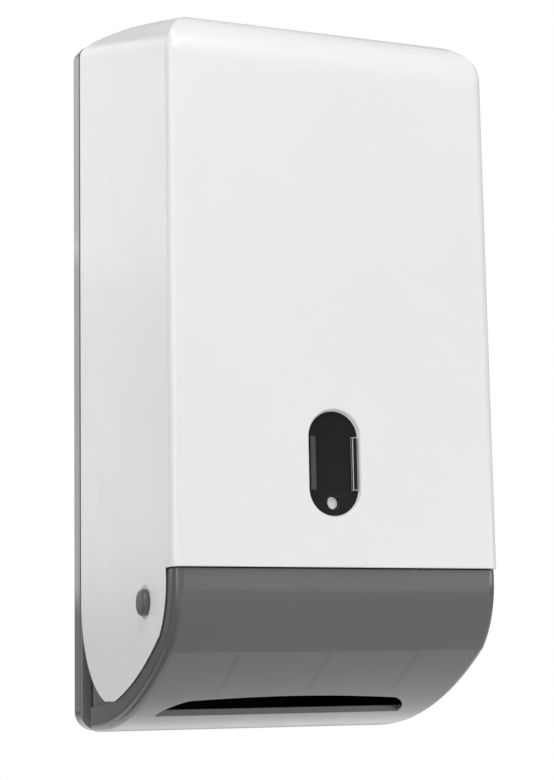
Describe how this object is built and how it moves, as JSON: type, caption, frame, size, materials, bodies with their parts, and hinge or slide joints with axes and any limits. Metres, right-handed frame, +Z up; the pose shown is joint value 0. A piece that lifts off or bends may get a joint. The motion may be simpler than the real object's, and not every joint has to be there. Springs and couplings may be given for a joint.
{
  "type": "interfold toilet paper dispenser",
  "caption": "Wall-hung dispenser for interleaved toilet tissue: a white cover with a smoked window and lock tips forward over a grey tray with an arched slot, on a grey back plate.",
  "frame": {"origin": "centre of the back plate's flat wall face", "axes": "+Z up, -Y out of the wall towards the user, +X to the user's right"},
  "size_m": [0.1398, 0.125, 0.2943],
  "materials": {
    "cover_white": "gloss white ABS",
    "base_grey": "gloss grey ABS",
    "window_smoke": "smoked clear plastic",
    "lock_white": "white acetal",
    "steel": "zinc-plated steel"
  },
  "bodies": {
    "base": {"back_plate": "base_grey", "tray": "base_grey", "tray_screws": "steel", "hinge_pin_left": "base_grey", "hinge_pin_right": "base_grey", "hinge_clips": "steel", "lock_bracket": "base_grey", "bracket_screws": "steel", "lock_spring": "steel", "lock_cap": "base_grey"},
    "cover": {"cover": "cover_white", "window_plate": "window_smoke"},
    "lock": {"lock_pin": "lock_white"}
  },
  "joints": [
    {"name": "cover_tip", "type": "hinge", "parent": "base", "child": "cover", "pos_m": [0, -0.093, -0.0982], "axis": [1, 0, 0], "range_deg": [0, 60]},
    {"name": "lock_push", "type": "slide", "parent": "base", "child": "lock", "axis": [0, 1, 0], "range_m": [0, 0.003], "stiffness_N_per_m": 600, "springref_m": -0.004, "deforming": ["lock_spring"]}
  ]
}
